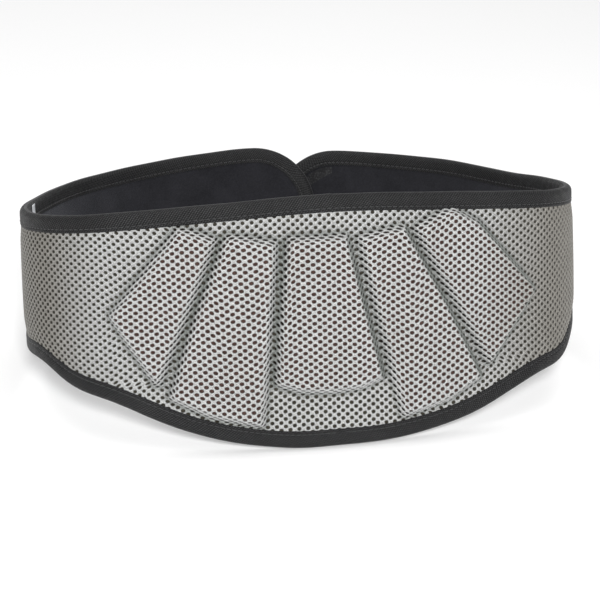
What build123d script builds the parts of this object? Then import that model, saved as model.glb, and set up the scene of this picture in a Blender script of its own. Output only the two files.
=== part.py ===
# Contoured lumbar support belt, standing closed on its lower edges.
# One STEP file per separate piece, in millimetres, +Z up, lumbar panel facing -Y.
#
# Each piece is first built in the belt's own frame, where every wall is upright and the plan is a
# closed loop of tangent arcs. The whole belt is then leaned back until the lumbar panel's lower edge
# and both wings' lower edges stand on one floor, and cut into a panel and two wings at upright fold lines.
import math
import os

from build123d import *

# ---- plan of the loop, to the outer face of the binding tape --------------------------------------
half_width = 175.2       # loop centre to either side
front_depth = 101.8      # loop centre to the lumbar panel
back_depth = 172.4       # loop centre to the back, half way between the two overlapping wings
front_radius = 469.0     # the lumbar panel's gentle curve
corner_radius = 79.5     # from the lumbar panel round to the sides
wing_split = 4.8         # each wing leaves the mean back line by this much, so that they lie in layers

# ---- heights in the belt's own frame ---------------------------------------------------------------
panel_height = 150.0     # lumbar panel at its middle
wing_height = 88.0       # sides and wings
side_bottom = 53.0       # lower edge at the sides, above the panel's lowest point
flat_half = 20.0         # half of the straight run at the bottom of the lumbar panel
tip_radius = wing_height / 2
left_tip_centre = 91.0   # degrees round the back arc from the side to the centre of the rounded end
right_tip_centre = 69.2

# ---- layers, measured inwards from the outer face --------------------------------------------------
tape = 0.5               # binding tape, one thickness
cover = 1.2              # spacer mesh
core = 4.0               # closed-cell foam
lining = 0.8             # brushed lining
tape_lap = 10.0          # how far the tape laps onto each face
d_cover = tape
d_core = d_cover + cover
d_lining = d_core + core
d_inner_tape = d_lining + lining
total = d_inner_tape + tape

# ---- raised pads ------------------------------------------------------------------------------------
pad_rise = 7.0           # above the cover
pad_draft = 30.0         # degrees, slope of a pad's flanks
pad_corner = 3.0         # corner radius of a pad's flat top
fan_shift = -10.0        # middle of the fan at pad_top, from the middle of the panel
fan_lean = 0.062         # sideways shift of the fan per mm below pad_top
pad_top = 124.0
# Outlines of the pads' flat tops: distance from the fan's middle line, height. The centre pad is its own
# mirror image and the inner pads are a mirrored pair; the left outer pad is narrower than the right one.
centre_pad = [(16, 124), (30.5, 41), (18, 36.5), (0, 35)]
inner_pad = [(26.5, 122.5), (52, 127), (74, 81), (93, 35), (72, 24), (44, 17)]
right_outer_pad = [(62, 126.5), (84, 136), (100, 127), (135, 84), (102, 44)]
left_outer_pad = [(-62, 126.5), (-102, 44.5), (-123, 83.5), (-80, 132)]

# ---- closure and label -------------------------------------------------------------------------------
patch = 0.8              # hook and loop tape
patch_inset = 11.5       # from the belt's edge, clear of the binding
loop_start = 50.0        # degrees round the back arc where the loop strip begins
hook_start = 75.3
label_angle = (9.0, 13.0)
label_drop = 24.0
label_below_rim = 0.5
label_thickness = 0.4

# ---- how it stands -----------------------------------------------------------------------------------
lean_back = 14.05        # degrees
fold_y = 14.0            # upright fold lines, in front of the belt frame's origin after leaning
fold_gap = 0.3

# ---- sizes of the blocks that cut the walls to shape, all reaching well past the belt --------------------
tall = 220.0
below = 20.0             # how far such a block starts under the belt
deep = 260.0
outside_x = 200.0
past_tip = 90.0          # from the loop's middle to beyond either wing's rounded end
beyond = 1000.0


def centres(back):
    """Centres and angles of the three arcs of one side, for a loop that reaches back to y = back."""
    c1 = -front_depth + front_radius
    x2 = half_width - corner_radius
    y2 = c1 - math.sqrt((front_radius - corner_radius) ** 2 - x2**2)
    r3 = (x2**2 + (back - y2) ** 2 - corner_radius**2) / (2 * (back - y2 - corner_radius))
    y3 = back - r3
    front_end = math.degrees(math.atan2(y2 - c1, x2))
    side_end = math.degrees(math.atan2(y2 - y3, x2))
    return c1, (x2, y2), (y3, r3), front_end, side_end


LEFT, RIGHT = -1, 1
# Lower edge of the lumbar panel towards each side: distance from the middle, height.
PANEL_LOW = {
    LEFT: [(98, 16.3), (138, 33.9), (160, 43.8)],
    RIGHT: [(98, 15.8), (138, 31.2), (160, 40.2)],
}

# How far a wing's lower and upper edge have risen at each distance from the loop's middle, on the way to
# its rounded end. The left wing lies inside the right one, so its lower edge comes down a little further.
RISE = {
    LEFT: (
        [(172, 0), (150, 2.0), (100, 6.3), (63, 9.8), (30, 13.6), (-2, 17)],
        [(172, 0), (150, 3.0), (100, 9.0), (63, 12.6), (30, 15.4), (-2, 17)],
    ),
    RIGHT: ([(172, 0), (150, 3.6), (100, 9.8), (63, 12.4)],) * 2,
}
BACK = {LEFT: back_depth - wing_split, RIGHT: back_depth + wing_split}


def spot(side, centre, radius, degrees):
    a = math.radians(degrees)
    return (side * (centre[0] + radius * math.cos(a)), centre[1] + radius * math.sin(a), 0)


def arc(side, centre, radius, start, end):
    return ThreePointArc(*(spot(side, centre, radius, a) for a in (start, (start + end) / 2, end)))


def side_edges(side, depth, start, end):
    """The corner arc from start degrees, then the back arc to end degrees, at a depth from the outer face."""
    c1, corner, (y3, r3), _, side_end = centres(BACK[side])
    return [
        arc(side, corner, corner_radius - depth, start, side_end),
        arc(side, (0, y3), r3 - depth, side_end, end),
    ]


def raised(edges):
    """A wall with this plan, from below the belt's lowest point to above its highest."""
    return Pos(0, 0, -below) * extrude(make_face(edges), amount=tall, dir=(0, 0, 1))


def plate(outer, inner):
    """An upright wall between two runs of edges that start together and end together."""
    ends = [Line(outer[0] @ 0, inner[0] @ 0), Line(outer[-1] @ 1, inner[-1] @ 1)]
    return raised(outer + inner + ends)


def panel_wall(near, far):
    """The lumbar panel's wall and its wrap round both sides, between two depths."""
    c1, _, _, front_end, _ = centres(back_depth)
    runs = []
    for depth in (near, far):
        left = side_edges(LEFT, depth, front_end, 20)
        right = side_edges(RIGHT, depth, front_end, 20)
        front = ThreePointArc(left[0] @ 0, (0, c1 - front_radius + depth, 0), right[0] @ 0)
        runs.append([left[1], left[0], front, right[0], right[1]])
    ends = [Line(runs[0][i] @ 1, runs[1][i] @ 1) for i in (0, -1)]
    return raised(runs[0] + runs[1] + ends)


def front_view(edges):
    """Everything behind and in front of an outline drawn in the XZ plane."""
    return extrude(make_face(edges), amount=deep, dir=(0, 1, 0), both=True)


def panel_outline(inset):
    """The lumbar panel from the front: a deep curved lower edge and a slightly arched upper edge."""
    low, high = inset, -inset
    edges = [Line((-flat_half, 0, low), (flat_half, 0, low))]
    top_mid = (0, 0, panel_height + high)
    for side in (LEFT, RIGHT):
        bottom = [(flat_half, 0), (50, 3), *PANEL_LOW[side], (174, side_bottom)]
        top = [(0, panel_height), (50, 148.2), (98, 145.4), (138, 142.8), (165, 141.2), (174, 141)]
        lower = Spline(*[(side * x, 0, z + low) for x, z in bottom], tangents=[(side, 0, 0), (side, 0, 0)])
        upper = Spline(*[(side * x, 0, z + high) for x, z in top], tangents=[(side, 0, 0), (side, 0, 0)])
        corner_low = (side * outside_x, 0, side_bottom + low)
        corner_high = (side * outside_x, 0, side_bottom + wing_height + high)
        edges += [lower, upper, Line(lower @ 1, corner_low), Line(corner_high, upper @ 1)]
        edges.append(Line(corner_low, corner_high))
    return front_view(edges)


def wing_outline(side, inset):
    """A wing from the front: a band that rises gently towards the back."""
    runs = []
    for base, shift, rise in zip((side_bottom, side_bottom + wing_height), (inset, -inset), RISE[side]):
        points = [(side * x, 0, base + z + shift) for x, z in rise]
        curve = Spline(*points, tangents=[(-side, 0, 0), (-side, 0, 0)])
        start = Line((side * outside_x, 0, base + shift), points[0])
        runs.append((start, curve, Line(points[-1], (-side * past_tip, 0, points[-1][2]))))
    ends = [Line(runs[0][0] @ 0, runs[1][0] @ 0), Line(runs[0][2] @ 1, runs[1][2] @ 1)]
    return front_view([*runs[0], *runs[1], *ends])


def tip_centre(side):
    """Where the rounded end's centre lies on the back arc: angle, point and outward direction."""
    _, _, (y3, r3), _, _ = centres(BACK[side])
    angle = left_tip_centre if side == LEFT else right_tip_centre
    x, y, _ = spot(side, (0, y3), r3, angle)
    return angle, (x, y, side_bottom + RISE[side][0][-1][1] + tip_radius), Vector(x, y - y3, 0).normalized()


def wing(side, near, far, inset):
    """A wing's layer between two depths, drawn in by inset from the belt's edge, with its rounded end."""
    angle, point, out = tip_centre(side)
    _, _, (y3, r3), _, _ = centres(BACK[side])
    straight = plate(side_edges(side, near, -30, angle), side_edges(side, far, -30, angle))
    straight = straight & wing_outline(side, inset)
    end = plate(*([arc(side, (0, y3), r3 - depth, angle, angle + 20)] for depth in (near, far)))
    disc = Plane(origin=point, z_dir=out) * Circle(tip_radius - inset)
    return straight + (end & extrude(disc, amount=60, both=True))


def strip(side, near, far, start, end, low, high):
    """A patch of wall on the back arc between two angles and two heights."""
    _, _, (y3, r3), _, _ = centres(BACK[side])
    runs = [[arc(side, (0, y3), r3 - depth, start, end)] for depth in (near, far)]
    return plate(*runs) & Pos(0, 0, (low + high) / 2) * Box(beyond, beyond, high - low)


def front_point(t, z):
    """A point of the cover's outer face, from the distance t to the fan's middle line and the height."""
    c1, corner, _, front_end, _ = centres(back_depth)
    s = t + fan_shift + fan_lean * (pad_top - z)
    side = LEFT if s < 0 else RIGHT
    flat = math.radians(90 + front_end) * front_radius
    if abs(s) <= flat:
        x, y, _ = spot(side, (0, c1), front_radius - d_cover, -90 + math.degrees(abs(s) / front_radius))
    else:
        turn = math.degrees((abs(s) - flat) / corner_radius)
        x, y, _ = spot(side, corner, corner_radius - d_cover, front_end + turn)
    return Vector(x, y, z)


def pad(outline, body):
    """A block with sloping flanks standing on the cover, clear of the binding."""
    points = [front_point(t, z) for t, z in outline]
    middle = sum(points, Vector()) * (1 / len(points))
    across = max(points, key=lambda p: p.X) - min(points, key=lambda p: p.X)
    out = Vector(across.Y, -across.X, 0).normalized()
    sunk = 5.0
    plane = Plane(origin=middle - out * sunk, x_dir=Vector(-out.Y, out.X, 0), z_dir=out)
    flat = [plane.to_local_coords(p) for p in points]
    face = make_face(Polyline(*[(p.X, p.Y) for p in flat], close=True))
    face = fillet(face.vertices(), pad_corner)
    grown = offset(face, amount=(sunk + pad_rise) * math.tan(math.radians(pad_draft)))
    block = extrude(plane * grown, amount=sunk + pad_rise + 6, dir=out, taper=pad_draft)
    return block & body


# ---- panels: cover, core and lining, then the tape that binds their edges -----------------------------
pieces = {}
layers = {"cover": (d_cover, d_core), "core": (d_core, d_lining), "lining": (d_lining, d_inner_tape)}
for name, (near, far) in layers.items():
    pieces[f"lumbar_{name}"] = panel_wall(near, far) & panel_outline(tape)
    for side, word in ((LEFT, "left"), (RIGHT, "right")):
        pieces[f"{word}_wing_{name}"] = wing(side, near, far, tape)

full = panel_wall(0, total)
inside = panel_wall(d_cover, d_inner_tape) & panel_outline(tape)
binding = (full & panel_outline(0)) - inside - (full & panel_outline(tape_lap))
upper, lower = binding.solids().sort_by(Axis.Z)[::-1]
pieces["lumbar_binding_top"], pieces["lumbar_binding_bottom"] = upper, lower
for side, word in ((LEFT, "left"), (RIGHT, "right")):
    inside = wing(side, d_cover, d_inner_tape, tape)
    pieces[f"{word}_wing_binding"] = wing(side, 0, total, 0) - inside - wing(side, -1, total + 1, tape_lap)

# ---- pads ----------------------------------------------------------------------------------------------
skin = panel_wall(d_cover - pad_rise, d_cover) & panel_outline(tape_lap)


def mirrored(outline):
    return [(-t, z) for t, z in reversed(outline)]


pieces["pad_centre"] = pad(centre_pad + mirrored(centre_pad[:-1]), skin)
pieces["pad_inner_right"] = pad(inner_pad, skin)
pieces["pad_inner_left"] = pad(mirrored(inner_pad), skin)
pieces["pad_outer_right"] = pad(right_outer_pad, skin)
pieces["pad_outer_left"] = pad(left_outer_pad, skin)

# ---- closure patches and label ---------------------------------------------------------------------------
patch_shape = {side: wing(side, -5, total + 5, patch_inset) for side in (LEFT, RIGHT)}
low, high = side_bottom, side_bottom + wing_height + 30
pieces["loop_patch"] = strip(LEFT, d_cover - patch, d_cover, loop_start, 112, low, high) & patch_shape[LEFT]
pieces["hook_patch"] = (
    strip(RIGHT, d_inner_tape, d_inner_tape + patch, hook_start, 90, low, high) & patch_shape[RIGHT]
)
label_top = side_bottom + wing_height - label_below_rim
label_bottom = label_top - label_drop
pieces["care_label"] = strip(LEFT, total, total + label_thickness, *label_angle, label_bottom, label_top)

# ---- lean back, cut at the folds, stand on the floor -------------------------------------------------------
half = {
    "panel": Pos(0, fold_y - (fold_gap + beyond) / 2, 0) * Box(beyond, beyond, beyond),
    "wing": Pos(0, fold_y + (fold_gap + beyond) / 2, 0) * Box(beyond, beyond, beyond),
}
for name in pieces:
    leaned = pieces[name].rotate(Axis.X, -lean_back)
    body = "panel" if name.startswith(("lumbar", "pad")) else "wing"
    pieces[name] = leaned & half[body]

boxes = {name: shape.bounding_box() for name, shape in pieces.items()}
floor = min(b.min.Z for b in boxes.values())
mid_x = (min(b.min.X for b in boxes.values()) + max(b.max.X for b in boxes.values())) / 2
mid_y = (min(b.min.Y for b in boxes.values()) + max(b.max.Y for b in boxes.values())) / 2

os.makedirs("parts", exist_ok=True)
for name, shape in pieces.items():
    placed = shape.moved(Location((-mid_x, -mid_y, -floor)))
    solids = placed.solids()
    export_step(solids[0] if len(solids) == 1 else Compound(children=solids), f"parts/{name}.step")
    low = boxes[name].min.Z - floor
    print(name, len(solids), "solid(s)", round(placed.volume / 1000, 2), "cm3, lowest at", round(low, 2))
moved = [round(-v, 3) for v in (mid_x, mid_y, floor)]
print("fold lines at y", round(fold_y - mid_y, 3), "origin moved by", moved)
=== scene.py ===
# Looks of the contoured lumbar support belt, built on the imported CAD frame.
import math

import bpy
import numpy as np
from mathutils import Matrix, Vector


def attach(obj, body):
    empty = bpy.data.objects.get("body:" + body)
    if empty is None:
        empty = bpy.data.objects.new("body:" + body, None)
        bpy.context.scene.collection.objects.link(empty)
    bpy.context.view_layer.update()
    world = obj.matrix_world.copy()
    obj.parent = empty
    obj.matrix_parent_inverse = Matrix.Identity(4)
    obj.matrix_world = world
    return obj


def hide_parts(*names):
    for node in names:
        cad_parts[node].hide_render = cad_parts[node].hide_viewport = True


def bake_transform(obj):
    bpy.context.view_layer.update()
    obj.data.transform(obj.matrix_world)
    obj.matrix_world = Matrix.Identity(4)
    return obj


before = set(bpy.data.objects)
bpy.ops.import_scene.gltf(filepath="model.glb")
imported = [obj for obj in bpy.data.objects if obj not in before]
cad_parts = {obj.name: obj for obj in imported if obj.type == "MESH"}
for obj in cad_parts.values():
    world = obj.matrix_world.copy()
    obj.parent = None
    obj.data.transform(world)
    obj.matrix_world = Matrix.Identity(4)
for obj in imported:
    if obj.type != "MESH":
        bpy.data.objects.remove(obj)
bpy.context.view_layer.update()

MM = 0.001
LEFT, RIGHT = -1, 1
SIDES = {LEFT: "left", RIGHT: "right"}

# ---- The belt's plan and heights, in millimetres, as in the CAD ------------------------------
HALF_WIDTH = 175.2
FRONT_DEPTH = 101.8
BACK_DEPTH = 172.4
WING_SPLIT = 4.8  # the left wing passes this far inside the mean depth, the right one outside it
FRONT_R = 469.0
CORNER_R = 79.5
WING_H = 88.0
SIDE_LOW = 53.0
TIP_R = WING_H / 2
TIP_ANGLE = {LEFT: 91.0, RIGHT: 69.2}
LEAN = math.radians(14.05)
ORIGIN_MOVE = np.array([-0.334, -52.217, -22.901])

# Depths of the layers, in from the belt's outer face.
TAPE = 0.5
CORE_FACE = 1.7
CORE_BACK = 5.7
LINING_FACE = 6.5
TOTAL = 7.0

# Heights of the lumbar panel's edges against distance from its middle.
PANEL_LOW = {
    LEFT: [(0, 0), (20, 0), (50, 3), (98, 16.3), (138, 33.9), (160, 43.8), (174, SIDE_LOW)],
    RIGHT: [(0, 0), (20, 0), (50, 3), (98, 15.8), (138, 31.2), (160, 40.2), (174, SIDE_LOW)],
}
PANEL_HIGH = [(0, 150), (50, 148.2), (98, 145.4), (138, 142.8), (165, 141.2), (174, 141)]
# How far each wing's lower and upper edge climb towards its end.
LEFT_LOW = [(-2, 17), (30, 13.6), (63, 9.8), (100, 6.3), (150, 2.0), (172, 0)]
LEFT_HIGH = [(-2, 17), (30, 15.4), (63, 12.6), (100, 9.0), (150, 3.0), (172, 0)]
RIGHT_BOTH = [(63, 12.4), (100, 9.8), (150, 3.6), (172, 0)]
WING_CLIMB = {LEFT: (LEFT_LOW, LEFT_HIGH), RIGHT: (RIGHT_BOTH, RIGHT_BOTH)}

# Outlines of the pads' tops, before the fan they stand in leans outwards.
FAN_SHIFT = -10.0
FAN_LEAN = 0.062
PAD_TOP = 124.0
PAD_RISE = 7.0
FLANK = 4.8
PADS = {
    "pad_centre": [(16, 124), (30.5, 41), (18, 36.5), (0, 35), (-18, 36.5), (-30.5, 41), (-16, 124)],
    "pad_inner_right": [(26.5, 122.5), (52, 127), (74, 81), (93, 35), (72, 24), (44, 17)],
    "pad_outer_right": [(62, 126.5), (84, 136), (100, 127), (135, 84), (102, 44)],
    "pad_outer_left": [(-62, 126.5), (-102, 44.5), (-123, 83.5), (-80, 132)],
}
PADS["pad_inner_left"] = [(-t, z) for t, z in PADS["pad_inner_right"]]
CENTRE_PAD_EDGE = FAN_SHIFT + 25  # left of it are the flanks that face the light

PANEL_EDGE = {LEFT: -152.0, RIGHT: 139.0}  # where the cover's panel meets its wings
LAP_EDGE = 7.0  # the cover and the lining run this far from the edge, under the binding


def smooth(u):
    """0 below 0, 1 above 1, and level at both ends between."""
    u = np.clip(u, 0, 1)
    return u * u * (3 - 2 * u)


def curve_through(points):
    """A smooth height through control points, level at both ends, as a function of the first number."""
    x, y = (np.array(v, float) for v in zip(*points))
    h = np.diff(x)
    d = np.diff(y) / h
    n = len(x)
    a, r = np.eye(n), np.zeros(n)
    for i in range(1, n - 1):
        a[i, i - 1], a[i, i], a[i, i + 1] = 1 / h[i - 1], 2 / h[i - 1] + 2 / h[i], 1 / h[i]
        r[i] = 3 * (d[i - 1] / h[i - 1] + d[i] / h[i])
    slope = np.linalg.solve(a, r)

    def height(at):
        at = np.clip(at, x[0], x[-1])
        i = np.clip(np.searchsorted(x, at) - 1, 0, n - 2)
        t, w = (at - x[i]) / h[i], h[i]
        start = (1 + 2 * t) * (1 - t) ** 2 * y[i] + t * (1 - t) ** 2 * w * slope[i]
        end = t * t * (3 - 2 * t) * y[i + 1] - t * t * (1 - t) * w * slope[i + 1]
        return start + end

    return height


panel_low = {side: curve_through(PANEL_LOW[side]) for side in SIDES}
panel_high = curve_through(PANEL_HIGH)
wing_climb = {side: [curve_through(edge) for edge in WING_CLIMB[side]] for side in SIDES}


def place(x, y, z):
    """A point of the upright belt, leant back and moved to the frame's origin, in metres."""
    x, y, z = np.broadcast_arrays(x, y, z)
    c, s = math.cos(LEAN), math.sin(LEAN)
    return (np.stack([x, y * c + z * s, z * c - y * s], -1) + ORIGIN_MOVE) * MM


class Half:
    """One half of the loop, from the panel's middle to a wing's rounded end.

    s is the distance along its outer face, through a front, a corner and a wing arc.
    """

    def __init__(self, side):
        self.side = side
        back = BACK_DEPTH + side * WING_SPLIT
        self.front_y = FRONT_R - FRONT_DEPTH
        self.corner_x = HALF_WIDTH - CORNER_R
        self.corner_y = self.front_y - math.sqrt((FRONT_R - CORNER_R) ** 2 - self.corner_x**2)
        rise = back - self.corner_y
        self.wing_r = (self.corner_x**2 + rise**2 - CORNER_R**2) / (2 * (rise - CORNER_R))
        self.wing_y = back - self.wing_r
        self.corner_from = math.atan2(self.corner_y - self.front_y, self.corner_x)
        self.corner_to = math.atan2(self.corner_y - self.wing_y, self.corner_x)
        self.front_end = FRONT_R * (math.pi / 2 + self.corner_from)
        self.corner_end = self.front_end + CORNER_R * (self.corner_to - self.corner_from)
        if self.corner_to < 0:
            self.side_s = self.corner_end - self.wing_r * self.corner_to
        else:
            self.side_s = self.front_end - CORNER_R * self.corner_from
        self.tip_s = self.wing_s(TIP_ANGLE[side])
        self.end_s = self.tip_s + self.wing_r * math.asin(TIP_R / self.wing_r)
        self.tip_z = SIDE_LOW + WING_CLIMB[side][0][0][1] + TIP_R

    def wing_s(self, degrees):
        return self.corner_end + self.wing_r * (math.radians(degrees) - self.corner_to)

    def plan(self, s, depth):
        s, depth = np.broadcast_arrays(np.asarray(s, float), np.asarray(depth, float))
        arcs = [s < self.front_end, s < self.corner_end]
        front = -math.pi / 2 + s / FRONT_R
        corner = self.corner_from + (s - self.front_end) / CORNER_R
        wing = self.corner_to + (s - self.corner_end) / self.wing_r
        angle = np.select(arcs, [front, corner], wing)
        r = np.select(arcs, [FRONT_R, CORNER_R], self.wing_r) - depth
        x = np.select(arcs, [0, self.corner_x], 0) + r * np.cos(angle)
        y = np.select(arcs, [self.front_y, self.corner_y], self.wing_y) + r * np.sin(angle)
        return self.side * x, y

    def edges(self, s):
        """Heights of the lower and upper edge at s, the rounded end left out."""
        x = self.side * self.plan(s, 0)[0]
        front = np.asarray(s) < self.side_s
        low, high = wing_climb[self.side]
        lower = np.where(front, panel_low[self.side](np.abs(x)), SIDE_LOW + low(x))
        upper = np.where(front, panel_high(np.abs(x)), SIDE_LOW + WING_H + high(x))
        return lower, upper

    def past_tip(self, s):
        """How far s lies into the rounded end."""
        return self.wing_r * np.sin(np.clip((s - self.tip_s) / self.wing_r, 0, 1))

    def span(self, s, inset):
        """Heights of the lower and upper edge at s, drawn in by inset, with the rounded end."""
        low, high = self.edges(np.minimum(s, self.tip_s))
        reach = np.sqrt(np.clip((TIP_R - inset) ** 2 - self.past_tip(s) ** 2, 0, None))
        past = np.asarray(s) > self.tip_s
        lower = np.where(past, self.tip_z - reach, low + inset)
        upper = np.where(past, self.tip_z + reach, high - inset)
        return lower, upper

    def inset(self, s, z):
        """How far in from the belt's edge a point is."""
        low, high = self.edges(np.minimum(s, self.tip_s))
        from_tip = TIP_R - np.hypot(self.past_tip(s), z - self.tip_z)
        return np.where(s > self.tip_s, from_tip, np.minimum(z - low, high - z))

    def at(self, s, z, depth):
        x, y = self.plan(s, depth)
        return place(x, y, z)


halves = {side: Half(side) for side in SIDES}


def at(s, z, depth):
    """A point of the belt, with s negative on the left half."""
    s, z, depth = np.broadcast_arrays(np.asarray(s, float), z, depth)
    left, right = halves[LEFT].at(-s, z, depth), halves[RIGHT].at(s, z, depth)
    return np.where((s < 0)[..., None], left, right)


def inset_of(s, z):
    return np.where(s < 0, halves[LEFT].inset(np.abs(s), z), halves[RIGHT].inset(np.abs(s), z))


# ---- The pads, as a height over the cover ----------------------------------------------------
def outside(polygon, t, z):
    """Distance from a convex outline, negative inside it."""
    corners = np.array(polygon, float)
    nxt = np.roll(corners, -1, 0)
    turn = np.sign(np.sum(corners[:, 0] * nxt[:, 1] - nxt[:, 0] * corners[:, 1]))
    nearest, inner = np.full(t.shape, 1e9), np.full(t.shape, -1e9)
    for a, b in zip(corners, nxt):
        edge = b - a
        k = np.clip(((t - a[0]) * edge[0] + (z - a[1]) * edge[1]) / (edge @ edge), 0, 1)
        nearest = np.minimum(nearest, np.hypot(t - a[0] - k * edge[0], z - a[1] - k * edge[1]))
        across = ((t - a[0]) * edge[1] - (z - a[1]) * edge[0]) / math.hypot(*edge)
        inner = np.maximum(inner, across * turn)
    return np.where(inner < 0, inner, nearest)


def fan(s, z):
    """Where s lies across the fan of pads, whose lines lean outwards as they fall."""
    return s - FAN_SHIFT - FAN_LEAN * (PAD_TOP - z)


def unfan(t, z):
    return t + FAN_SHIFT + FAN_LEAN * (PAD_TOP - z)


def pad_height(polygon, s, z):
    """A top with a slight crown, a rounded shoulder, a straight flank and a small cove at the foot."""
    d = outside(polygon, fan(s, z), z) + 0.5
    u = np.clip(1 - d / FLANK, 0, 1)
    flank = 0.62 * u + 0.38 * smooth(u)
    crown = 0.9 * (1 - np.exp(np.minimum(d, 0) / 9))
    return (PAD_RISE - 0.6) * flank + crown


def off_binding(s, z):
    """0 at the binding, 1 a little further in, so that no pad runs under the tape."""
    return smooth((inset_of(s, z) - 8.6) / 3.0)


def rise(s, z):
    """How far the pads lift the cover."""
    height = np.zeros(np.broadcast(s, z).shape)
    near = (np.abs(s) < 170) & (z > 0)
    if near.any():
        ss, zz = s[near], z[near]
        highest = np.max([pad_height(outline, ss, zz) for outline in PADS.values()], axis=0)
        height[near] = highest * off_binding(ss, zz)
    return height


def waves(s, z):
    """Slack in the cloth: long shallow waves, stronger on the sides than over the stiff panel."""
    side = smooth((np.abs(s) - 120) / 60)
    puckers = np.sin(s / 17 + 0.6 * np.sin(z / 23)) * np.sin(z / 21 + 0.4) * 0.35
    rolls = np.sin(s / 31 + 1.3) * 0.25 + np.sin(s / 9.5 + z / 37) * 0.14
    return ((puckers + rolls) * side + 0.5 + 0.5 * side) * smooth((inset_of(s, z) - 7) / 14)


def grid_faces(rows, columns, offset=0, flip=False):
    i, j = np.meshgrid(np.arange(rows - 1), np.arange(columns - 1), indexing="ij")
    a = (i * columns + j).ravel() + offset
    quads = np.stack([a, a + 1, a + columns + 1, a + columns], 1)
    return quads[:, ::-1] if flip else quads


# ---- The cloth over the pads, puffed up by a simulation --------------------------------------
SIM_S = np.arange(-168.0, 168.1, 3.0)
SIM_Z = np.arange(3.0, 150.1, 3.0)
MOST_SWELL = 1.3


def cloth_object(points):
    """The cover's middle as a mesh of its own, held wherever no pad lifts it."""
    mesh = bpy.data.meshes.new("cloth_over_pads")
    faces = grid_faces(*points.shape[:2])
    mesh.from_pydata((points.reshape(-1, 3) * MM).tolist(), [], faces.tolist())
    cloth = bpy.data.objects.new("cloth_over_pads", mesh)
    bpy.context.scene.collection.objects.link(cloth)
    held = cloth.vertex_groups.new(name="held")
    held.add(np.flatnonzero(points[..., 2].ravel() < 0.8).tolist(), 1.0, "REPLACE")
    settings = cloth.modifiers.new("Cloth", "CLOTH").settings
    settings.vertex_group_mass = "held"
    settings.quality = 6
    settings.mass = 0.1
    settings.use_pressure = True
    settings.uniform_pressure_force = 4
    settings.bending_stiffness = 0.3
    settings.effector_weights.gravity = 0
    return cloth


def swell():
    """How far each point of a grid over the pads moves along s, up and out."""
    s, z = np.meshgrid(SIM_S, SIM_Z, indexing="ij")
    before = np.stack([s, z, rise(s, z)], -1)
    cloth = cloth_object(before)
    for frame_number in range(1, 21):
        bpy.context.scene.frame_set(frame_number)
    settled = cloth.evaluated_get(bpy.context.evaluated_depsgraph_get()).to_mesh()
    after = np.empty(len(settled.vertices) * 3)
    settled.vertices.foreach_get("co", after)
    move = after.reshape(before.shape) / MM - before
    mesh = cloth.data
    bpy.data.objects.remove(cloth)
    bpy.data.meshes.remove(mesh)
    bpy.context.scene.frame_set(1)
    length = np.linalg.norm(move, axis=-1, keepdims=True)
    return move * np.minimum(1, MOST_SWELL / np.maximum(length, 1e-6))


SWELL = swell()


def puff(s, z):
    """The simulated move at a point, from the grid round it."""
    along = np.clip((s - SIM_S[0]) / (SIM_S[1] - SIM_S[0]), 0, len(SIM_S) - 1.001)
    up = np.clip((z - SIM_Z[0]) / (SIM_Z[1] - SIM_Z[0]), 0, len(SIM_Z) - 1.001)
    i, j = along.astype(int), up.astype(int)
    a, b = (along - i)[..., None], (up - j)[..., None]
    near = SWELL[i, j] * (1 - b) + SWELL[i, j + 1] * b
    far = SWELL[i + 1, j] * (1 - b) + SWELL[i + 1, j + 1] * b
    return near * (1 - a) + far * a


def skin(s, z, lift):
    """A point on the cover, lift millimetres off it along its own slope."""
    e = 0.3
    height = rise(s, z)
    move = puff(s, z)
    slope_s = (rise(s + e, z) - rise(s - e, z)) / (2 * e)
    slope_z = (rise(s, z + e) - rise(s, z - e)) / (2 * e)
    n = np.sqrt(1 + slope_s**2 + slope_z**2)
    depth = TAPE - height - move[..., 2] - waves(s, z) - lift / n
    return at(s + move[..., 0] - lift * slope_s / n, z + move[..., 1] - lift * slope_z / n, depth)


# ---- Where the cloth lies: spaced by length over the pads, gathered into the channels --------
S_GRID = np.arange(-170, 170.01, 0.5)
Z_GRID = np.arange(0, 156.01, 1.0)


def channel_lines(z):
    """The middles of the channels between pads, where the cloth is pinned."""
    outer, inner = 57 + (126 - z) * 0.47, 21.25 + (124 - z) * 0.168
    return [unfan(t, z) for t in (-152, -outer, -inner, inner, outer, 152)]


def along_lines():
    """Where the cloth's points lie along the belt, at each height."""
    table = np.empty((len(Z_GRID), len(S_GRID)))
    for row, z in enumerate(Z_GRID):
        height = rise(S_GRID, np.full(len(S_GRID), z))
        run = np.concatenate([[0], np.cumsum(np.hypot(np.diff(S_GRID), np.diff(height)))])
        lines = np.array([S_GRID[0], *channel_lines(z), S_GRID[-1]])
        spaced = np.interp(run, np.interp(lines, S_GRID, run), lines)
        table[row] = np.interp(S_GRID, spaced, S_GRID)
    return table


def up_lines():
    """Where the cloth's points lie up the belt, at each place along it, evened out sideways."""
    fine = np.arange(Z_GRID[0], Z_GRID[-1] + 0.01, 0.25)
    table = np.empty((len(Z_GRID), len(S_GRID)))
    for column, s in enumerate(S_GRID):
        height = rise(np.full(len(fine), s), fine)
        closer = 1 + 0.08 * smooth(height[1:] / 3)
        steps = closer * np.hypot(np.diff(fine), np.diff(height))
        run = np.concatenate([[0], np.cumsum(steps)])
        table[:, column] = np.interp(Z_GRID * run[-1] / fine[-1], run, fine)
    width = 17
    padded = np.pad(table, ((0, 0), (width // 2, width // 2)), "edge")
    return sum(padded[:, i:i + len(S_GRID)] for i in range(width)) / width


ALONG = along_lines()
UP = up_lines()


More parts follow.
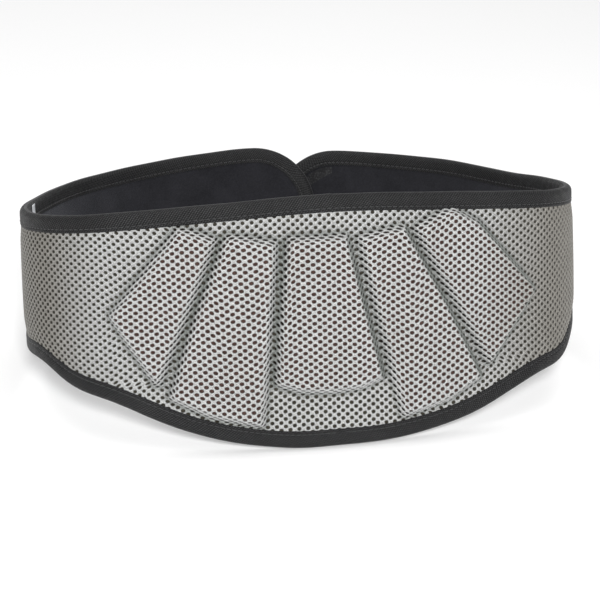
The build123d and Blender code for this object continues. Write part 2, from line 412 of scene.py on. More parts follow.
def look_up(table, s, z):
    column = np.clip((s - S_GRID[0]) / (S_GRID[1] - S_GRID[0]), 0, len(S_GRID) - 1.001)
    row = np.clip(z - Z_GRID[0], 0, len(Z_GRID) - 1.001)
    i, j = column.astype(int), row.astype(int)
    a, b = column - i, row - j
    lower = table[j, i] * (1 - a) + table[j, i + 1] * a
    upper = table[j + 1, i] * (1 - a) + table[j + 1, i + 1] * a
    return lower * (1 - b) + upper * b


def cloth_to_belt(u, v):
    """Where the cloth's point (u, v) lies on the belt."""
    over = np.abs(u) < S_GRID[-1] - 0.5
    s, z = u, v
    for _ in range(3):
        s = np.where(over, look_up(ALONG, u, z), u)
        z = np.where(over, look_up(UP, s, v), v)
    return s, z


def slope_along(s, z):
    return (rise(s + 1.0, z) - rise(s - 1.0, z)) / 2.0


def drawn(s, z):
    """1 where the cloth is drawn into slits, on the flanks that face the belt's middle line."""
    slope = slope_along(s, z)
    return smooth((np.where(s < CENTRE_PAD_EDGE, -slope, slope) - 0.35) / 0.5)


def pressed(s, z):
    """1 where shade is painted on the cloth: in the channels, at the pads' feet and on flanks facing right.
    """
    near = (np.abs(s) < 170) & (z > 0)
    t = fan(s, z)
    nearest, second = np.sort([outside(outline, t, z) for outline in PADS.values()], axis=0)[:2]
    gap = np.where(near, np.maximum(nearest, 0), 60.0)
    wall = smooth((gap - 1.6 - 2.0 * drawn(s, z)) / 1.8) * smooth((7.0 - gap) / 2.4)
    between = smooth((13 - nearest - second) / 4)
    on_left = smooth((CENTRE_PAD_EDGE - s) / 20)
    # Painted shade in the channels between the pads, more where two pads are close and on the left.
    channel = wall * (0.62 + 0.38 * between) * (0.4 + 0.6 * on_left)
    # Painted shade: a dark line along each pad's foot.
    crease = 0.75 * np.exp(-((gap - 4.0) / 1.1) ** 2)
    # Painted shade on flanks right of the centre pad that turn to the right, away from the light.
    turned_right = (1 - on_left) * smooth((-slope_along(s, z) - 0.5) / 0.5)
    shade = np.maximum(np.maximum(channel, crease), turned_right)
    return np.where(near & (nearest > -0.5), shade, 0.0)


# ---- Binding tape's section ------------------------------------------------------------------
STITCH_IN = 7.95  # the seam's distance from the edge


def tape_section():
    """Distance in from the edge, and depth, from the outer lap's hem over the rim to the inner one's."""
    hem = [(10.15, 0.75), (10.2, 0.35), (9.95, 0.05), (9.4, -0.12), (8.8, -0.1)]
    seam = [(8.3, 0.16), (7.9, 0.24), (7.5, 0.14)]
    face = [(6.9, -0.08), (5.8, -0.14), (4.4, -0.16), (3.2, -0.12)]
    lap = hem + seam + face
    middle, thick = TOTAL / 2, TOTAL / 2 + 0.12
    angles = np.linspace(0, math.pi, 15)[1:-1]
    rim = [(3.2 - 3.5 * math.sin(a) ** 0.9, middle - thick * math.cos(a)) for a in angles]
    inner_lap = [(inwards, TOTAL - depth) for inwards, depth in reversed(lap)]
    return np.array(lap + rim + inner_lap)


def length_along(points):
    """How far along a line of points each of them is."""
    return np.concatenate([[0], np.cumsum(np.hypot(*np.diff(points, axis=0).T))])


SECTION = tape_section()
ACROSS = length_along(SECTION)
RIM_LINE = ACROSS[-1] / 2 + 0.4  # where a painted highlight runs along the rim


# ---- Materials -------------------------------------------------------------------------------
class Nodes:
    """A short way to write a material's nodes."""

    def __init__(self, name, **values):
        self.material = bpy.data.materials.new(name)
        self.material.use_nodes = True
        self.tree = self.material.node_tree
        self.shader = self.tree.nodes["Principled BSDF"]
        for key, value in values.items():
            self.shader.inputs[key.replace("_", " ")].default_value = value
        self.object = self.add("ShaderNodeTexCoord").outputs["Object"]

    def put(self, socket, value):
        """Link a node's output to a socket, or set the socket to a number or colour."""
        if isinstance(value, bpy.types.NodeSocket):
            self.tree.links.new(value, socket)
        else:
            socket.default_value = (*value, 1) if isinstance(value, tuple) else value

    def add(self, kind, inputs=None, **settings):
        node = self.tree.nodes.new(kind)
        for key, value in settings.items():
            setattr(node, key, value)
        for key, value in (inputs or {}).items():
            self.put(node.inputs[key], value)
        return node

    def noise(self, scale, detail=3, rough=0.55):
        inputs = {"Vector": self.object, "Scale": scale, "Detail": detail, "Roughness": rough}
        return self.add("ShaderNodeTexNoise", inputs).outputs["Fac"]

    def cells(self, scale):
        inputs = {"Vector": self.object, "Scale": scale}
        return self.add("ShaderNodeTexVoronoi", inputs).outputs["Distance"]

    def ramp(self, fac, *stops):
        node = self.add("ShaderNodeValToRGB", {"Fac": fac})
        while len(node.color_ramp.elements) < len(stops):
            node.color_ramp.elements.new(0.5)
        for element, (where, colour) in zip(node.color_ramp.elements, stops):
            element.position = where
            element.color = (*colour, 1)
        return node.outputs["Color"]

    def mix(self, fac, a, b, blend="MIX"):
        inputs = {0: fac, 6: a, 7: b}
        return self.add("ShaderNodeMix", inputs, data_type="RGBA", blend_type=blend).outputs[2]

    def times(self, a, b):
        return self.mix(1.0, a, b, "MULTIPLY")

    def math(self, operation, a, b=0.0, c=0.0):
        return self.add("ShaderNodeMath", {0: a, 1: b, 2: c}, operation=operation).outputs[0]

    def value(self, name):
        return self.add("ShaderNodeAttribute", attribute_name=name).outputs

    def bump(self, *layers):
        """Bumps from (height, strength, distance in metres), one over another."""
        normal = None
        for height, strength, distance in layers:
            inputs = {"Height": height, "Strength": strength, "Distance": distance}
            if normal is not None:
                inputs["Normal"] = normal
            normal = self.add("ShaderNodeBump", inputs).outputs["Normal"]
        self.put(self.shader.inputs["Normal"], normal)

    def set(self, socket, value):
        self.put(self.shader.inputs[socket], value)


def grey(level):
    return (level, level, level)


def mesh_cloth():
    """Painted highlights on the strands' crowns; painted shade down the holes, duller in the channels and
    browner round the sides.
    """
    m = Nodes("spacer_mesh_knit", Roughness=0.5, Sheen_Weight=0.04, Sheen_Roughness=0.4,
              Specular_IOR_Level=0.4)
    crown, press, side = (m.value(name)["Fac"] for name in ("crown", "press", "side"))
    yarn = m.noise(1500, 2, 0.6)
    # crown carries painted light: painted highlights on strands and rims, painted shade down the holes; the
    # yarn noise is the cloth's own tone.
    painted_light_and_yarn = m.math("ADD", crown, m.math("MULTIPLY_ADD", yarn, 0.9, -0.45))
    colour = m.ramp(painted_light_and_yarn, (0.0, (0.03, 0.029, 0.024)), (0.4, (0.13, 0.13, 0.124)),
                    (0.75, (0.30, 0.302, 0.30)), (1.0, (0.62, 0.625, 0.62)))
    patches = m.ramp(m.noise(24, 3), (0.3, (0.22, 0.22, 0.20)), (0.7, grey(0.42)))
    colour = m.mix(0.14, colour, patches)
    # Painted shade in the channels, at the pads' feet and on flanks turned away from the light.
    shaded_colour = m.times(colour, (0.42, 0.445, 0.42))
    # Painted shade round the sides of the loop: the colour is made duller and browner there.
    colour = m.mix(side, colour, m.times(colour, (0.52, 0.49, 0.44)))
    m.set("Base Color", m.mix(press, colour, shaded_colour))
    m.bump((yarn, 0.5, 0.00025), (m.noise(4200, 1), 0.3, 0.0001))
    return m.material


def foam(name, dark, light):
    m = Nodes(name, Roughness=0.9, Specular_IOR_Level=0.2)
    colour = m.ramp(m.noise(600, 4), (0.3, dark), (0.7, light))
    # Painted shade: the foam is made darker and greener on the pads' flanks, down in the channels.
    flank = m.times(colour, (0.22, 0.27, 0.25))
    m.set("Base Color", m.mix(m.value("flank")["Fac"], colour, flank))
    m.bump((m.cells(1400.0), 0.5, 0.0002))
    return m.material


def tape_cloth():
    """Twill: diagonal ribs crossed by picks, with a painted highlight along the rim, and fuzz."""
    m = Nodes("binding_twill", Roughness=0.55, Sheen_Weight=0.03, Sheen_Roughness=0.35,
              Specular_IOR_Level=0.2)
    along, across = m.add("ShaderNodeSeparateXYZ", {0: m.value("weave")["Vector"]}).outputs[:2]
    waver = m.math("MULTIPLY", m.noise(400, 2), 0.5)
    diagonal = m.math("ADD", m.math("ADD", along, m.math("MULTIPLY", across, 0.8)), waver)
    rib = m.math("SINE", m.math("MULTIPLY", diagonal, 2 * math.pi / 1.7))
    counter = m.math("SUBTRACT", across, m.math("MULTIPLY", along, 0.35))
    pick = m.math("SINE", m.math("MULTIPLY", counter, 2 * math.pi / 1.25))
    weave = m.math("MULTIPLY_ADD", m.math("ADD", rib, m.math("MULTIPLY", pick, 0.6)), 0.3, 0.5)
    fuzz = m.noise(900, 3, 0.7)
    # Painted highlight: a lighter line along the rim's fold.
    rim = m.math("COMPARE", m.math("ADD", across, waver), RIM_LINE, 1.0)
    base = m.ramp(weave, (0.15, grey(0.001)), (0.55, (0.005, 0.005, 0.0055)), (0.95, (0.085, 0.085, 0.087)))
    base = m.mix(0.35, base, m.ramp(fuzz, (0.40, (0.001, 0.001, 0.0015)), (0.68, (0.038, 0.038, 0.039))))
    base = m.mix(m.math("MULTIPLY", rim, 0.55), base, (0.13, 0.132, 0.135))
    faded = m.times(base, m.ramp(m.noise(30, 2), (0.3, grey(0.5)), (0.7, grey(1.0))))
    m.set("Base Color", m.mix(0.5, base, faded))
    m.set("Roughness", m.ramp(m.noise(300, 3), (0.3, grey(0.45)), (0.7, grey(0.65))))
    m.bump((weave, 0.9, 0.00035), (fuzz, 0.5, 0.0003))
    return m.material


def lining_cloth():
    m = Nodes("brushed_lining", Roughness=0.95, Sheen_Weight=0.15, Sheen_Roughness=0.5,
              Specular_IOR_Level=0.15, Sheen_Tint=(0.8, 0.82, 0.9, 1))
    nap = m.noise(900, 5, 0.75)
    cloud = m.noise(45, 4, 0.6)
    fine = m.ramp(nap, (0.3, (0.005, 0.005, 0.0065)), (0.72, (0.029, 0.029, 0.034)))
    broad = m.ramp(cloud, (0.35, (0.009, 0.009, 0.011)), (0.65, (0.021, 0.021, 0.025)))
    m.set("Base Color", m.mix(0.5, fine, broad))
    m.bump((nap, 0.7, 0.0005), (cloud, 0.3, 0.001))
    return m.material


def thread():
    m = Nodes("sewing_thread", Roughness=0.45, Sheen_Weight=0.2, Specular_IOR_Level=0.5)
    m.set("Base Color", m.ramp(m.noise(3000, 2), (0.3, (0.006, 0.006, 0.007)), (0.7, (0.028, 0.028, 0.03))))
    m.bump((m.noise(5000, 1), 0.4, 0.0001))
    return m.material


def pile(name, scale, dark, light, strength):
    m = Nodes(name, Roughness=0.85, Sheen_Weight=0.4, Sheen_Roughness=0.4, Specular_IOR_Level=0.25)
    loops = m.cells(scale)
    tufts = m.ramp(loops, (0.1, light), (0.6, dark))
    m.set("Base Color", m.mix(0.4, tufts, m.ramp(m.noise(60, 4), (0.3, dark), (0.7, light))))
    m.bump((loops, strength, 0.0006), (m.noise(2500, 3), 0.4, 0.0003))
    return m.material


def label_cloth():
    m = Nodes("label_satin", Roughness=0.4, Sheen_Weight=0.2, Specular_IOR_Level=0.5)
    inputs = {"Vector": m.object, "Scale": 900.0, "Distortion": 0.5}
    wave = m.add("ShaderNodeTexWave", inputs, bands_direction="Z").outputs["Fac"]
    m.set("Base Color", m.ramp(wave, (0.2, (0.70, 0.73, 0.78)), (0.8, (0.86, 0.88, 0.90))))
    m.bump((wave, 0.3, 0.0001))
    return m.material


def floor_surface():
    m = Nodes("pale_floor", Roughness=0.9, Specular_IOR_Level=0.2, Emission_Color=(1, 1, 1, 1),
              Emission_Strength=0.1)
    m.set("Base Color", m.ramp(m.noise(3, 2), (0.3, grey(0.95)), (0.7, grey(0.9405))))
    return m.material


MATERIALS = {
    "mesh": mesh_cloth(),
    "tape": tape_cloth(),
    "lining": lining_cloth(),
    "thread": thread(),
    "label": label_cloth(),
    "core": foam("core_foam", (0.026, 0.023, 0.018), (0.065, 0.059, 0.046)),
    "pad_foam": foam("pad_foam", (0.042, 0.025, 0.021), (0.10, 0.061, 0.052)),
    "loop": pile("loop_pile", 1300.0, (0.010, 0.010, 0.011), (0.040, 0.040, 0.043), 0.6),
    "hook": pile("hook_face", 700.0, (0.008, 0.008, 0.009), (0.045, 0.045, 0.047), 0.9),
    "floor": floor_surface(),
}


# ---- Making pieces ---------------------------------------------------------------------------
def piece(name, points, faces, material, weave=None, **values):
    """A smooth-shaded mesh object, with a number at each point for each of values."""
    mesh = bpy.data.meshes.new(name)
    rows = [list(map(int, face)) for face in faces]
    mesh.from_pydata(np.asarray(points).reshape(-1, 3).tolist(), [], rows)
    mesh.materials.append(MATERIALS[material])
    mesh.validate()
    mesh.polygons.foreach_set("use_smooth", [True] * len(mesh.polygons))
    if weave is not None:
        attribute = mesh.attributes.new("weave", "FLOAT_VECTOR", "POINT")
        attribute.data.foreach_set("vector", np.asarray(weave, np.float32).reshape(-1))
    for key, value in values.items():
        attribute = mesh.attributes.new(key, "FLOAT", "POINT")
        attribute.data.foreach_set("value", np.asarray(value, np.float32).reshape(-1))
    made = bpy.data.objects.new(name, mesh)
    bpy.context.scene.collection.objects.link(made)
    return made


def slab(name, outer, inner, material, flip):
    """A closed sheet between two grids of points that share their outline."""
    rows, columns = outer.shape[:2]
    count = rows * columns
    border = np.concatenate([
        np.arange(rows) * columns,
        (rows - 1) * columns + np.arange(1, columns),
        np.arange(rows - 2, -1, -1) * columns + columns - 1,
        np.arange(columns - 2, 0, -1),
    ])
    after = np.roll(border, -1)
    wall = np.stack([border, after, after + count, border + count], 1)
    faces = np.concatenate([
        grid_faces(rows, columns, 0, flip),
        grid_faces(rows, columns, count, not flip),
        wall[:, ::-1] if flip else wall,
    ])
    return piece(name, np.concatenate([outer.reshape(-1, 3), inner.reshape(-1, 3)]), faces, material)


def fold(made):
    """Bakes the piece's place into its points."""
    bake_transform(made)


# ---- The cover: cloth knitted with staggered holes, each a dished ring in a diamond of strands
PITCH_U = 5.35
PITCH_V = 2.15
HOLE_U = 0.43
HOLE_V = 0.47
# The diamond's corners and edge middles, in quarters of PITCH_U and halves of PITCH_V.
DIAMOND = [(2, 0), (1, 1), (0, 2), (-1, 1), (-2, 0), (-1, -1), (0, -2), (1, -1)]
TURN = np.arange(len(DIAMOND)) * math.pi / 4
SLIT_LONG = 0.40
SLIT_SHORT = 0.26
RIM_RING = {"size": 1.28, "sink": -0.06}
THROAT_RING = {"size": 1.0, "sink": -0.95}
# The knit is laid out over this much cloth before keep chooses from it.
CLOTH_LEFT = -560
CLOTH_RIGHT = 500
CLOTH_TOP = 175
# Strands stand a little proud where they cross; a painted highlight makes them brightest there.
CROSSING_LIFT = 0.12
CROSSING_HIGHLIGHT = 0.76
STRAND_HIGHLIGHT = 0.70


def hole_middles(keep):
    """Each hole's place in the knit, in the diamond's units, and on the belt."""
    rows = np.arange(0, int(CLOTH_TOP / PITCH_V))
    columns = np.arange(int(CLOTH_LEFT / PITCH_U), int(CLOTH_RIGHT / PITCH_U))
    row, column = np.meshgrid(rows, columns, indexing="ij")
    i = (4 * column + 2 * (row % 2)).ravel()
    j = (2 * row).ravel()
    u, v = i * PITCH_U / 4, j * PITCH_V / 2
    s, z = cloth_to_belt(u, v)
    chosen = keep(u, s, z)
    return i[chosen], j[chosen], s[chosen], z[chosen]


def shared_corners(i, j):
    """The points that neighbouring diamonds share, and which eight of them go round each hole."""
    around_i = np.stack([i + a for a, _ in DIAMOND], 1)
    around_j = np.stack([j + b for _, b in DIAMOND], 1)
    both = np.stack([around_i.ravel(), around_j.ravel()], 1)
    corners, index = np.unique(both, axis=0, return_inverse=True)
    return corners, index.reshape(around_i.shape)


def hole_traits(u, v, s, z):
    """What shapes each hole: how open, stretched or drawn its cloth is, and how far left it lies."""
    height = rise(s, z)
    stretched = smooth(height / 2) * smooth((PAD_RISE - 1.2 - height) / 2)
    traits = {
        "open": np.maximum(smooth(height / 3), smooth((42 - v) / 20)),
        "wide": 1 + 0.28 * stretched,
        "slit": drawn(s, z),
        "leans_right": s < CENTRE_PAD_EDGE,
        "far": smooth((-u - 135) / 50),
    }
    return {key: value[:, None] for key, value in traits.items()}


def hole_ring(size, traits):
    """Eight points round each hole, as steps from its middle: an oval, or a slit where drawn."""
    leans_right = traits["leans_right"]
    along = np.cos(math.pi / 4 - TURN) * np.where(leans_right, SLIT_LONG, SLIT_SHORT) * size
    across = np.sin(math.pi / 4 - TURN) * np.where(leans_right, SLIT_SHORT, SLIT_LONG) * size
    slit_u = (along + across) * PITCH_U / 2
    slit_v = (along - across) * PITCH_V
    wide = size * traits["wide"] * (0.93 + 0.12 * traits["open"]) * (1 + 0.08 * traits["far"])
    oval_u = wide * HOLE_U * PITCH_U / 2 * np.cos(TURN)
    oval_v = size * (0.90 + 0.15 * traits["open"]) * HOLE_V * PITCH_V * np.sin(TURN)
    slit = traits["slit"]
    return oval_u + (slit_u - oval_u) * slit, oval_v + (slit_v - oval_v) * slit


def painted_side_shade(s):
    """1 round the sides of the loop, where painted shade makes the cloth duller and browner; less round the
    back.
    """
    front = np.where(s < 0, smooth((-s - 135) / 50), smooth((s - 80) / 75))
    return front * (1 - 0.85 * smooth((np.abs(s) - 262) / 90))


def knit(name, keep):
    """A piece of the cover, made of the holes that keep chooses."""
    i, j, middle_s, middle_z = hole_middles(keep)
    middle_u, middle_v = i * PITCH_U / 4, j * PITCH_V / 2
    corners, index = shared_corners(i, j)
    crossing = corners[:, 1] % 2 == 0
    traits = hole_traits(middle_u, middle_v, middle_s, middle_z)
    # Painted highlight: each hole's rim is lighter on its lower right and darker towards its upper left,
    # except where the cloth is open over the pads.
    lit = 1 - 0.11 * (1 - traits["open"]) * (1 - np.cos(TURN + math.pi / 4))
    us, vs = [corners[:, 0] * PITCH_U / 4], [corners[:, 1] * PITCH_V / 2]
    lifts = [np.where(crossing, CROSSING_LIFT, 0.0)]
    painted_light = [np.where(crossing, CROSSING_HIGHLIGHT, STRAND_HIGHLIGHT)]
    # The rim ring carries the painted highlight; the throat ring is painted dark, as shade down the hole.
    for ring, crown in ((RIM_RING, lit), (THROAT_RING, 0 * lit)):
        step_u, step_v = hole_ring(ring["size"], traits)
        sink = ring["sink"] * (1 - 0.4 * traits["slit"] - 0.55 * traits["far"])
        us.append((middle_u[:, None] + step_u).ravel())
        vs.append((middle_v[:, None] + step_v).ravel())
        lifts.append(np.broadcast_to(sink, lit.shape).ravel())
        painted_light.append(crown.ravel())
    s, z = cloth_to_belt(np.concatenate(us), np.concatenate(vs))
    rim = len(corners) + np.arange(index.size).reshape(index.shape)
    throat = rim + index.size
    faces = [
        np.stack([outer, np.roll(outer, -1, 1), np.roll(inner, -1, 1), inner], -1).reshape(-1, 4)
        for outer, inner in ((index, rim), (rim, throat))
    ]
    # The cloth's crown, channel shade and side values are painted light and shade.
    cloth = piece(name, skin(s, z, np.concatenate(lifts)), np.concatenate(faces), "mesh",
                  crown=np.concatenate(painted_light), press=pressed(s, z), side=painted_side_shade(s))
    return cloth


def build_cover():
    loop_from = -halves[LEFT].wing_s(50.0)

    def on_panel(u, s, z):
        return (u > PANEL_EDGE[LEFT]) & (u <= PANEL_EDGE[RIGHT]) & (inset_of(s, z) > LAP_EDGE)

    def on_left(u, s, z):
        return (u <= PANEL_EDGE[LEFT]) & (u > loop_from - 6) & (inset_of(s, z) > LAP_EDGE)

    def on_right(u, s, z):
        return (u > PANEL_EDGE[RIGHT]) & (u < halves[RIGHT].end_s) & (inset_of(s, z) > LAP_EDGE)

    cover_panel = knit("cover_panel", on_panel)
    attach(cover_panel, "lumbar_panel")
    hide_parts("lumbar_cover")
    cover_left = knit("cover_left", on_left)
    cover_right = knit("cover_right", on_right)
    for side, cover in ((LEFT, cover_left), (RIGHT, cover_right)):
        fold(cover)
        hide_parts(f"{SIDES[side]}_wing_cover")


# ---- Foam cores and the lining: long slabs that follow the belt's outline --------------------
def stations(side, inset):
    """Places along a half, close together round its end."""
    half = halves[side]
    straight = np.linspace(0.0, half.tip_s, int(half.tip_s / 3.0))
    turn = np.linspace(0, math.pi / 2, 22)[1:]
    past = half.wing_r * np.arcsin(np.clip((TIP_R - inset) * np.sin(turn) / half.wing_r, 0, 1))
    return np.concatenate([straight, half.tip_s + past])


def sheet_points(side, inset, rows, depth):
    """A grid of points over a half, at a depth that depends on the place."""
    half = halves[side]
    s = stations(side, inset)
    low, high = half.span(s, inset)
    z = low[:, None] + (high - low)[:, None] * np.linspace(0, 1, rows)
    s = np.repeat(s[:, None], rows, 1)
    return half.at(s, z, depth(side * s, z)), s, z


def core_front(s, z):
    return CORE_FACE + 0.05 - waves(s, z)


def core_back(s, z):
    return np.full(s.shape, CORE_BACK - 0.1)


def lining_front(s, z):
    """The lining puffs inwards between the laps of the binding, with shallow dents."""
    rounded = 0.7 * smooth((inset_of(s, z) - 8) / 22)
    dents = 0.25 * np.sin(s / 13 + 0.7 * np.sin(z / 17)) * np.sin(z / 15 + s / 41)
    return LINING_FACE + 0.05 + (rounded + dents) * smooth((inset_of(s, z) - 7) / 8)


def build_core_and_lining(side):
    word = SIDES[side]
    outer = sheet_points(side, 1.0, 34, core_front)[0]
    inner = sheet_points(side, 1.0, 34, core_back)[0]
    core = slab(f"core_{word}", outer, inner, "core", side == RIGHT)
    fold(core)
    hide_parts(f"{word}_wing_core", "lumbar_core")

    points, s, z = sheet_points(side, LAP_EDGE, 40, lining_front)
    lining = piece(f"lining_{word}", points, grid_faces(*s.shape, 0, side == LEFT), "lining")
    fold(lining)
    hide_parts(f"{word}_wing_lining", "lumbar_lining")


# ---- Foam pads under the cover ---------------------------------------------------------------
UNDER_COVER = 0.05


def foot(polygon, reach, count=96):
    """An outline's middle, and arms from it to a line that runs reach outside it all round."""
    centre = np.array(polygon, float).mean(0)
    angle = np.linspace(0, 2 * math.pi, count, endpoint=False)
    near, far = np.zeros(count), np.full(count, 90.0)
    for _ in range(30):
        middle = (near + far) / 2
        t, z = centre[0] + middle * np.cos(angle), centre[1] + middle * np.sin(angle)
        past = outside(polygon, t, z) > reach
        near, far = np.where(past, near, middle), np.where(past, middle, far)
    return centre, np.stack([near * np.cos(angle), near * np.sin(angle)], 1)


def pad_faces(rings, count):
    """Quads between rings of points, and a fan of triangles that closes each end."""
    ring = np.arange(rings * count).reshape(rings, count)
    after = np.roll(ring, -1, 1)
    quads = np.stack([ring[1:], after[1:], after[:-1], ring[:-1]], -1).reshape(-1, 4).tolist()
    top, base = rings * count, rings * count + 1
    quads += [[p, q, top] for p, q in zip(ring[0], after[0])]
    quads += [[q, p, base] for p, q in zip(ring[-1], after[-1])]
    return quads


def build_pad(name, polygon):
    centre, arm = foot(polygon, FLANK - 0.6)
    k = np.concatenate([np.linspace(0.04, 0.72, 12), np.linspace(0.76, 1.0, 14)])[:, None]
    t, z = centre[0] + k * arm[:, 0], centre[1] + k * arm[:, 1]
    s = unfan(t, z)
    move = puff(s, z)
    lift = pad_height(polygon, s, z) * off_binding(s, z) + move[..., 2] - UNDER_COVER
    top = at(s + move[..., 0], z + move[..., 1], CORE_FACE - np.maximum(lift, 0.0))
    under = at(s[-1], z[-1], CORE_FACE + 0.04)
    middle_s, middle_z = np.array([unfan(*centre)]), np.array([centre[1]])
    height = pad_height(polygon, middle_s, middle_z) * off_binding(middle_s, middle_z)
    swollen = height + puff(middle_s, middle_z)[..., 2] - UNDER_COVER
    middle = at(middle_s, middle_z, CORE_FACE - swollen)
    base = at(middle_s, middle_z, CORE_FACE + 0.04)
    points = np.concatenate([top.reshape(-1, 3), under, middle, base])
    # 1 where the foam gets its painted shade: on its flanks and underside.
    flank = smooth((outside(polygon, t, z) + 0.5) / 1.5).ravel()
    flank = np.concatenate([flank, np.ones(len(under)), [0, 0]])
    pad = piece(name + "_foam", points, pad_faces(len(k) + 1, len(arm)), "pad_foam", flank=flank)
    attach(pad, "lumbar_panel")
    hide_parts(name)


def build_pads():
    for name, polygon in PADS.items():
        build_pad(name, polygon)


# ---- Binding tape: one folded strip round each half's edge, with a stitched groove in each lap
EDGE_STEP = 1.6


def edge_path(side):
    """Evenly spaced points round a half's edge, the run to each, and the way inwards at each."""
    half = halves[side]
    s = np.linspace(0, half.tip_s, 400)
    low, high = half.edges(s)
    turn = np.linspace(math.pi / 2, -math.pi / 2, 120)[1:-1]
    tip_s = half.tip_s + half.wing_r * np.arcsin(TIP_R * np.cos(turn) / half.wing_r)
    tip = np.stack([tip_s, half.tip_z + TIP_R * np.sin(turn)], 1)
    path = np.concatenate([np.stack([s, high], 1), tip, np.stack([s, low], 1)[::-1]])
    run = length_along(path)
    even = np.linspace(0, run[-1], int(run[-1] / EDGE_STEP) + 1)
    path = np.stack([np.interp(even, run, path[:, 0]), np.interp(even, run, path[:, 1])], 1)
    tangent = np.gradient(path, axis=0)
    tangent[0] = (1, 0)
    tangent[-1] = (-1, 0)
    tangent /= np.hypot(*tangent.T)[:, None]
    return even, path, np.stack([tangent[:, 1], -tangent[:, 0]], 1)


def build_binding(side, run, path, inward):
    inwards, depth = SECTION[:, 0], SECTION[:, 1]
    dip = np.exp(-((inwards - STITCH_IN) / 1.1) ** 2)
    pucker = 0.06 * np.sin(run * 2 * math.pi / 3.6)[:, None] * dip
    roll = 0.12 * np.sin(run / 23 + side)[:, None] + 0.08 * np.sin(run / 7.3)[:, None]
    reach = inwards + roll * smooth((4 - inwards) / 4)
    s = path[:, :1] + inward[:, :1] * reach
    z = path[:, 1:] + inward[:, 1:] * reach
    points = halves[side].at(np.abs(s), z, depth + pucker * np.where(depth < TOTAL / 2, 1, -1))
    # Where the strip reaches past the belt's middle, its points are mirrored to the other side.
    mirrored = 2 * ORIGIN_MOVE[0] * MM - points[:, :, 0]
    points[:, :, 0] = np.where(s < 0, mirrored, points[:, :, 0])
    rows, columns = s.shape
    along = np.repeat(-side * run[:, None], columns, 1)
    across = np.repeat(ACROSS[None], rows, 0)
    word = SIDES[side]
    faces = grid_faces(rows, columns, 0, side == LEFT)
    binding = piece(f"binding_{word}", points, faces, "tape", np.stack([along, across, 0 * s], -1))
    fold(binding)
    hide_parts(f"{word}_wing_binding", "lumbar_binding_top", "lumbar_binding_bottom")


STITCH = 2.7
STITCH_GAP = 0.9
STITCH_ARCH = 0.22
THREAD_R = 0.27
GROOVE = 0.16  # the seam's groove, in from the belt's face
# Places along a stitch, and how fat it is at each.
STITCH_SHAPE = np.array([(0.0, 0.35), (0.12, 0.9), (0.5, 1.05), (0.88, 0.9), (1.0, 0.35)])
STITCH_SIDES = 6


def build_stitches(side, run, path, inward):
    """Lockstitches in the binding's grooves, on both faces."""
    starts = np.arange(1.0, run[-1] - STITCH - 1, STITCH + STITCH_GAP)
    t, fat = STITCH_SHAPE.T
    at_run = starts[:, None] + t * STITCH
    s, z = np.interp(at_run, run, path[:, 0]), np.interp(at_run, run, path[:, 1])
    in_s, in_z = np.interp(at_run, run, inward[:, 0]), np.interp(at_run, run, inward[:, 1])
    turn = np.linspace(0, 2 * math.pi, STITCH_SIDES, endpoint=False)
    inwards = STITCH_IN + np.cos(turn) * THREAD_R * fat[:, None]
    thick = np.sin(turn) * THREAD_R * fat[:, None]
    arch = STITCH_ARCH * np.sin(math.pi * t)[:, None]
    s = s[..., None] + in_s[..., None] * inwards
    z = z[..., None] + in_z[..., None] * inwards
    points, faces = [], []
    for level, sign in ((GROOVE, 1), (TOTAL - GROOVE, -1)):
        first = len(points) * s.size
        depth = np.broadcast_to(level - arch * sign + thick, s.shape)
        points.append(halves[side].at(s.ravel(), z.ravel(), depth.ravel()))
        ring = first + np.arange(s.size).reshape(s.shape)
        after = np.roll(ring, -1, 2)
        if sign * side > 0:
            quads = [ring[:, :-1], after[:, :-1], after[:, 1:], ring[:, 1:]]
        else:
            quads = [ring[:, :-1], ring[:, 1:], after[:, 1:], after[:, :-1]]
        faces += np.stack(quads, -1).reshape(-1, 4).tolist()
        faces += ring[:, 0].tolist() + ring[:, -1, ::-1].tolist()
    stitches = piece(f"stitches_{SIDES[side]}", np.concatenate(points), faces, "thread")
    fold(stitches)


# ---- Closure tapes and the label -------------------------------------------------------------
def patch_stations(half, start, end, inset):
    """Places along a closure tape, close together where it follows a wing's rounded end."""
    edge = half.tip_s + half.wing_r * math.asin((TIP_R - inset) / half.wing_r)
    s = np.linspace(start, min(end, edge - 0.01), 90)
    past = s > half.tip_s
    if past.any():
        turn = np.linspace(0, math.pi / 2, 26)
        beyond = np.clip((TIP_R - inset) * np.sin(turn) / half.wing_r, 0, 1)
        s = np.concatenate([s[~past], half.tip_s + half.wing_r * np.arcsin(beyond)])
        s = s[s <= max(end, edge)]
    return s


PATCH_THICK = 0.85
PATCH_INSET = 11.3
PATCH_SEAM = 3.0  # the sewn line's distance from the tape's edge


def build_patch(kind, side, start, end, depth, out):
    """A loop or hook tape, rounded at its rim, with a sewn line round it."""
    half = halves[side]
    s = patch_stations(half, start, end, PATCH_INSET)
    low, high = (edge[:, None] for edge in half.span(s, PATCH_INSET))
    k = np.concatenate([[0, 0.008], np.linspace(0.02, 0.98, 30), [0.992, 1]])
    z = low + (high - low) * k
    s = np.repeat(s[:, None], len(k), 1)
    from_edge = np.minimum(z - low, high - z)
    rim = np.minimum(smooth(from_edge / 0.9), smooth((s - start + 0.02) / 0.9))
    sewn = 0.25 * np.exp(-((np.minimum(from_edge, s - start) - PATCH_SEAM) / 0.5) ** 2)
    points = half.at(s, z, depth - out * (PATCH_THICK * (0.25 + 0.75 * rim) - sewn))
    faces = grid_faces(*s.shape, 0, (side == RIGHT) == (out > 0))
    patch = piece(f"{kind}_tape", points, faces, kind)
    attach(patch, f"{SIDES[side]}_wing")
    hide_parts(f"{kind}_patch")


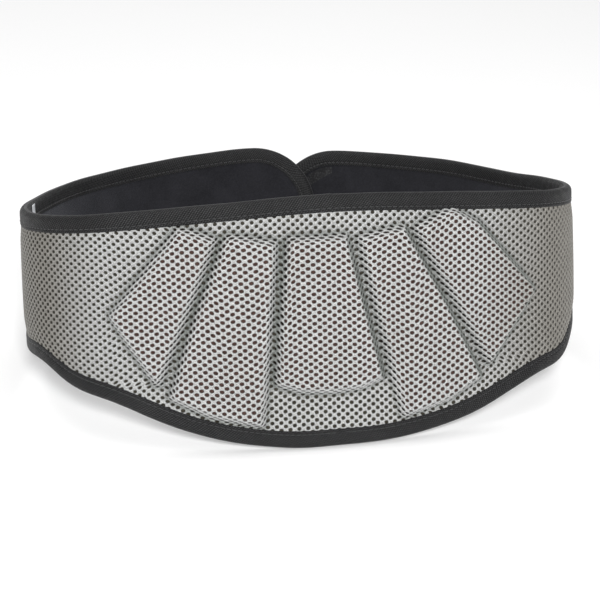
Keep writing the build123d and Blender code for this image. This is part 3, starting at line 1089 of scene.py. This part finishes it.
def build_closure():
    left, right = halves[LEFT], halves[RIGHT]
    loop_ends = left.wing_s(50.0), left.wing_s(112.0)
    hook_ends = right.wing_s(75.3), right.wing_s(90.0)
    build_patch("loop", LEFT, *loop_ends, depth=TAPE + 0.05, out=1)
    build_patch("hook", RIGHT, *hook_ends, depth=LINING_FACE - 0.05, out=-1)


LABEL_DROP = 24


def build_label():
    """A tab of satin that hangs from the left wing's upper binding and curls off the lining."""
    left = halves[LEFT]
    along = np.linspace(left.wing_s(9.0), left.wing_s(13.0), 14)
    s, down = np.meshgrid(along, np.linspace(0, 1, 26), indexing="ij")
    across = (s - s[0]) / (s[-1] - s[0])
    curl = 0.15 + 2.2 * down**2 * (1 - 0.5 * across) + 0.25 * np.sin(down * 7) * down
    hang = SIDE_LOW + WING_H - 0.5 - LABEL_DROP * down
    near, far = left.at(s, hang, TOTAL + curl), left.at(s, hang, TOTAL + curl + 0.25)
    label = slab("care_label_cloth", near, far, "label", False)
    fold(label)
    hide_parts("care_label")


# ---- Floor, light and camera -----------------------------------------------------------------
def build_floor():
    far, level = 6, -0.0004
    corners = [(-far, -far, level), (far, -far, level), (far, far, level), (-far, far, level)]
    piece("floor", corners, [(0, 1, 2, 3)], "floor")


def lamp(name, where, target, size, power):
    light = bpy.data.lights.new(name, "AREA")
    light.shape = "RECTANGLE"
    light.size, light.size_y = size
    light.energy = power
    lit = bpy.data.objects.new(name, light)
    lit.location = where
    lit.rotation_euler = (Vector(target) - Vector(where)).to_track_quat("-Z", "Y").to_euler()
    bpy.context.scene.collection.objects.link(lit)


def build_light():
    world = bpy.data.worlds.new("studio")
    bpy.context.scene.world = world
    world.use_nodes = True
    background = world.node_tree.nodes["Background"]
    background.inputs["Color"].default_value = (1, 1, 1, 1)
    background.inputs["Strength"].default_value = 0.28
    lamp("key", where=(-0.3, -1.8, 1.15), target=(0, -0.05, 0.05), size=(0.4, 0.35), power=36)
    lamp("top", where=(0, 0.5, 2.3), target=(0, 0.1, 0), size=(2.6, 2.6), power=36)


YAW = 0.207
TILT = 0.154
ROLL = -0.032
LENS = 112.26
DISTANCE = 1.2
SHIFT = (0.00033, -0.01967)


def turned(direction):
    """A direction seen square on to the belt, turned by YAW about the belt's upright and leant back."""
    x = math.cos(YAW) * direction[0] + math.sin(YAW) * direction[1]
    y = math.cos(YAW) * direction[1] - math.sin(YAW) * direction[0]
    z = direction[2]
    c, s = math.cos(LEAN), math.sin(LEAN)
    return Vector((x, y * c + z * s, z * c - y * s))


def build_camera():
    """The camera looks at the lumbar panel from a little above and to the left of square on."""
    look = turned((0, math.cos(TILT), -math.sin(TILT)))
    level_up = turned((0, math.sin(TILT), math.cos(TILT)))
    level_right = turned((1, 0, 0))
    right = level_right * math.cos(ROLL) + level_up * math.sin(ROLL)
    up = level_up * math.cos(ROLL) - level_right * math.sin(ROLL)
    camera = bpy.data.objects.new("camera", bpy.data.cameras.new("camera"))
    camera.data.sensor_width = 36
    camera.data.lens = LENS
    camera.data.shift_x, camera.data.shift_y = SHIFT
    stand = Vector(place(0, 0, 80.0)) - look * DISTANCE
    axes = Matrix((right, up, -look)).transposed().to_4x4()
    camera.matrix_world = Matrix.Translation(stand) @ axes
    bpy.context.scene.collection.objects.link(camera)
    bpy.context.scene.camera = camera
    bpy.context.scene.view_settings.view_transform = "Standard"


build_cover()
for side in SIDES:
    build_core_and_lining(side)
build_pads()
for side in SIDES:
    edge = edge_path(side)
    build_binding(side, *edge)
    build_stitches(side, *edge)
build_closure()
build_label()
build_floor()
build_light()
build_camera()
